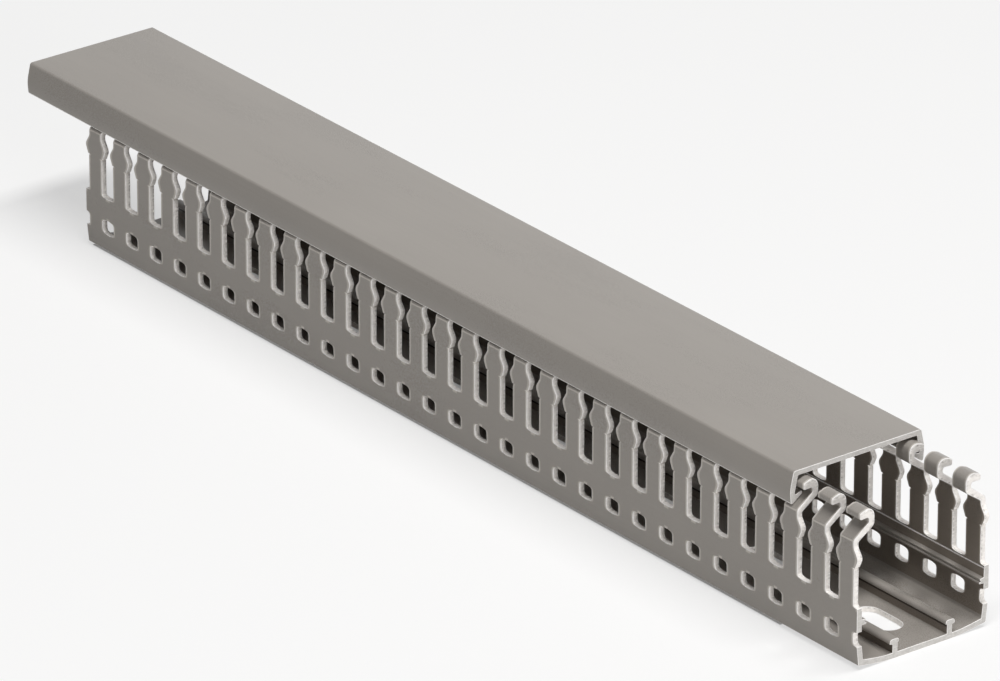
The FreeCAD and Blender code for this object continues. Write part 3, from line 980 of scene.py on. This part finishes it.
# %% [markdown]
# ## The two pieces
#
# Each mesh takes the place of its packed solid. The solid stays behind for collisions and the dressed
# piece shows. The trough rides on the body that stands still, the lid on the one that slides, so one
# scene is right at every place of the lid.

# %% Base and lid
all_finishes = [skin, punched, sawn, burr, inner]  # in the order of the numbers of the heap
dress(base_data, all_finishes, "base", "duct_base")
dress(lid_data, all_finishes, "lid", "duct_lid")

# %% [markdown]
# ## Floor and backdrop
#
# The duct lies on a wide sheet of white paper, and beyond its edge the white world takes over. Paper
# that is truly lit to white would need so much light that the plastic would wash out, and would throw
# it back from below. So it is only as pale as paper as a source of bounce, while to a ray from the
# camera, or from a reflection, it also glows by a share. The shadow stays visible under that glow.
# Right below the trough the glow is weaker, since a screw slot there looks into the shade.

# %% Paper
GLOW, UNDER_GLOW = 0.6, 0.18  # share of the glow, and what is left of it below the trough
UNDER_HALF, UNDER_BACK, UNDER_FRONT = 0.02236, -0.186, 0.15  # half width and ends of it, in metres


def seen(wire):
    """1 for a ray that comes from the camera or from a reflection, 0 for any other."""
    return wire.node("ShaderNodeLightPath", output="Is Camera Ray") + wire.node(
        "ShaderNodeLightPath", output="Is Glossy Ray")


def paper():
    """White to whatever looks at it, with part of the object's shadow; pale as a source of bounce."""
    made, wire = material("studio_paper", (0.93, 0.92, 0.91))
    tree = made.node_tree
    shader = tree.nodes["Principled BSDF"]
    shader.inputs["Roughness"].default_value = 1.0
    shader.inputs["Specular IOR Level"].default_value = 0.0
    shader.inputs["Base Color"].default_value = (0.93, 0.925, 0.915, 1)
    place = wire.node("ShaderNodeTexCoord", output="Object")
    x, y = (place.node("ShaderNodeSeparateXYZ", {}, {"Vector": place}, output=axis) for axis in (0, 1))
    under = x.math("LESS_THAN", x, UNDER_FRONT) * x.math("GREATER_THAN", x, UNDER_BACK)
    under = under * y.math("LESS_THAN", y * y, UNDER_HALF ** 2)
    glow = wire.node("ShaderNodeEmission", {}, {"Color": (1, 1, 1, 1), "Strength": 1.0})
    share = seen(wire) * (under * (UNDER_GLOW - GLOW) + GLOW)
    blend = wire.node("ShaderNodeMixShader", {}, {0: share, 1: Wire(tree, shader.outputs[0]), 2: glow})
    tree.links.new(blend.socket, tree.nodes["Material Output"].inputs["Surface"])
    return made


FLOOR_RADIUS, FLOOR_CORNERS = 6.0, 96
HAIR = 0.00002  # how far the sheet lies below the object, so that the two don't flicker


def studio_floor(radius, finish):
    """A round sheet under the object: the points of a circle, a hair below the object."""
    turn = np.linspace(0, 2 * np.pi, FLOOR_CORNERS + 1)[:-1]
    data = bpy.data.meshes.new("studio_floor")
    points = np.stack([radius * np.cos(turn), radius * np.sin(turn), turn * 0 - HAIR], axis=1)
    data.from_pydata(points, [], [list(range(len(turn)))])
    data.materials.append(finish)
    made = bpy.data.objects.new("studio_floor", data)
    bpy.context.scene.collection.objects.link(made)
    print("floor", radius, "m")


studio_floor(FLOOR_RADIUS, paper())

# %% [markdown]
# ## Light
#
# A long softbox hangs over the duct, a little behind its middle, as the photograph shows: the top is
# brightest, and the side towards the camera gets its light from the paper. A low lamp beyond the near
# end lights the sawn faces, and a weak one at the corner reaches the punched faces, which look the same
# way. The strengths were found by rendering with each lamp alone and weighing the pictures against the
# photograph, so that the grey renders about as bright as it is written. The world is white to look at
# and gives almost no light.


# %% Softboxes and world
MIDDLE = (0, 0, 0.02)  # of the duct, in metres


def softbox(name, place, size, power):
    """A rectangular lamp at a place, turned to the duct's middle; metres and watts."""
    data = bpy.data.lights.new(name, "AREA")
    data.shape = "RECTANGLE"
    data.size, data.size_y = size
    data.energy = power
    lamp = bpy.data.objects.new(name, data)
    bpy.context.scene.collection.objects.link(lamp)
    lamp.location = place
    lamp.rotation_euler = (Vector(MIDDLE) - Vector(place)).to_track_quat("-Z", "Y").to_euler()
    print(name, power, "W")


softbox("top_light", (0.4, 0.02, 2.0), (1.8, 0.4), 39)
softbox("corner_light", (2.0, -0.6, 0.75), (0.5, 0.5), 5)
softbox("end_light", (2.0, -0.1, 0.2), (0.5, 0.3), 11)
AMBIENT = 0.02
world = bpy.data.worlds.new("studio")
bpy.context.scene.world = world
world.use_nodes = True
wire = Wire(world.node_tree)
looked_at = seen(wire) + wire.node("ShaderNodeLightPath", output="Is Transmission Ray")
strength = looked_at.math("MINIMUM", looked_at, 1.0) * (1 - AMBIENT) + AMBIENT
background = world.node_tree.nodes["Background"]
background.inputs["Color"].default_value = (1, 1, 1, 1)
world.node_tree.links.new(strength.socket, background.inputs["Strength"])
bpy.context.scene.view_settings.view_transform = "Standard"

# %% [markdown]
# ## Camera
#
# The camera was found from corners of the duct whose places are known in both the picture and the
# model. It stands three metres away with a long lens, so the far end is hardly smaller than the near
# one. The middle of the picture isn't quite the lens's axis, because the photograph was cropped. That
# is taken up by moving the camera sideways, since over so small an angle it looks the same as a shift.

# %% Camera at the photograph's view
AZIMUTH, ELEVATION, ROLL = (math.radians(angle) for angle in (52.322, 24.474, 0.094))
FOCAL_PIXELS = 10341.344
DISTANCE = 3051.141
CENTRE = (28.648, 9.407)  # of the lens's axis from the middle of the picture, in pixels
AIM = (3.25, 0.8, 26.4)  # the point of the model that the lens's axis goes through before that move
SENSOR, IMAGE_WIDTH = 36, 1000  # millimetres and pixels
back = Vector((math.sin(AZIMUTH) * math.cos(ELEVATION), -math.cos(AZIMUTH) * math.cos(ELEVATION),
               math.sin(ELEVATION)))
level = Vector((math.cos(AZIMUTH), math.sin(AZIMUTH), 0))
upward = level.cross(-back)
right = level * math.cos(ROLL) + upward * math.sin(ROLL)
up = upward * math.cos(ROLL) - level * math.sin(ROLL)
offset = (right * CENTRE[0] - up * CENTRE[1]) * DISTANCE / FOCAL_PIXELS
spot = Vector(AIM) - offset + back * DISTANCE
lens = bpy.data.cameras.new("camera")
lens.sensor_width = SENSOR
lens.lens = FOCAL_PIXELS * SENSOR / IMAGE_WIDTH
lens.clip_end = 50  # metres, past the far edge of the paper
camera = bpy.data.objects.new("camera", lens)
bpy.context.scene.collection.objects.link(camera)
camera.matrix_world = Matrix.Translation(spot * MM) @ Matrix((right, up, back)).transposed().to_4x4()
bpy.context.scene.camera = camera
print("camera at", [round(value, 4) for value in spot * MM], "lens", round(lens.lens, 1), "mm")

# %% [markdown]
# ## End
#
# The pieces, the paper, the lamps and the camera above make the whole scene. The dressed pieces
# must not reach beyond the solids.
